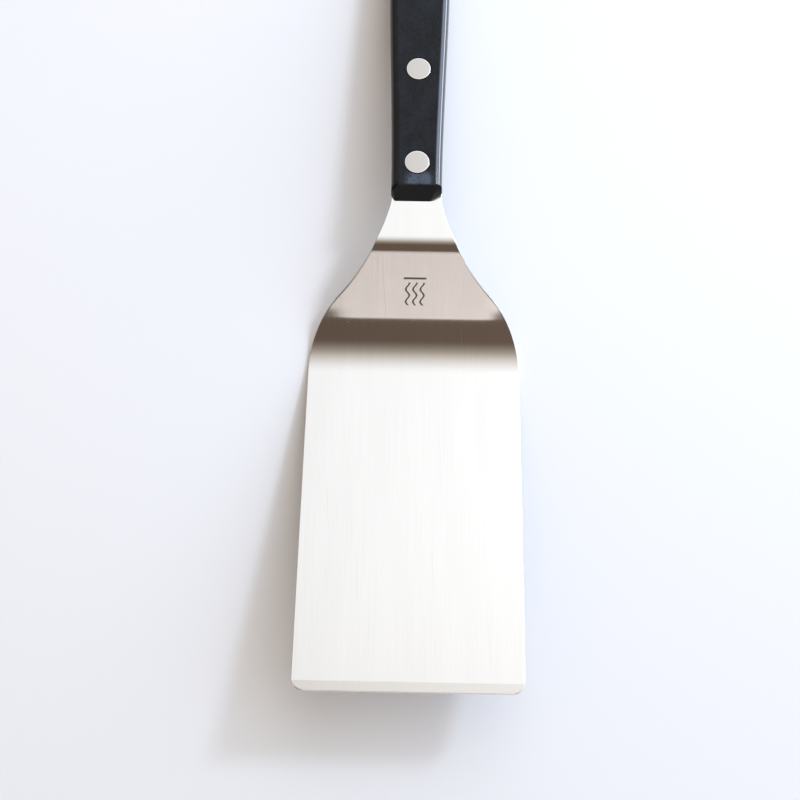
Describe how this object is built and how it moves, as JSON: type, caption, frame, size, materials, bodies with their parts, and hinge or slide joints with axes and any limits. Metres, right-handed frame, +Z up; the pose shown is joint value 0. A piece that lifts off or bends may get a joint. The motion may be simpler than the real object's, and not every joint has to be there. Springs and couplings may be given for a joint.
{
  "type": "grill spatula",
  "caption": "Offset grill spatula: a bent sheet-steel blade with a full tang between two riveted black handle scales, resting on its heel and butt.",
  "frame": {"origin": "on the table that the spatula rests on, under the middle of its length and width", "axes": "+X across the blade, +Y from the blade's front edge towards the butt of the handle, +Z up from the table, with the spatula resting on its heel and its butt"},
  "size_m": [0.0766, 0.282, 0.0273],
  "materials": {
    "blade_steel": "fine lengthwise brushing, satin",
    "handle_polymer": "smooth buffed satin black",
    "rivet_steel": "ground flush, fine linishing"
  },
  "bodies": {
    "root": {"blade_with_tang": "blade_steel", "top_handle_scale": "handle_polymer", "bottom_handle_scale": "handle_polymer", "front_rivet_tube_half": "rivet_steel", "front_rivet_pin_half": "rivet_steel", "middle_rivet_tube_half": "rivet_steel", "middle_rivet_pin_half": "rivet_steel", "rear_rivet_tube_half": "rivet_steel", "rear_rivet_pin_half": "rivet_steel"}
  },
  "joints": []
}
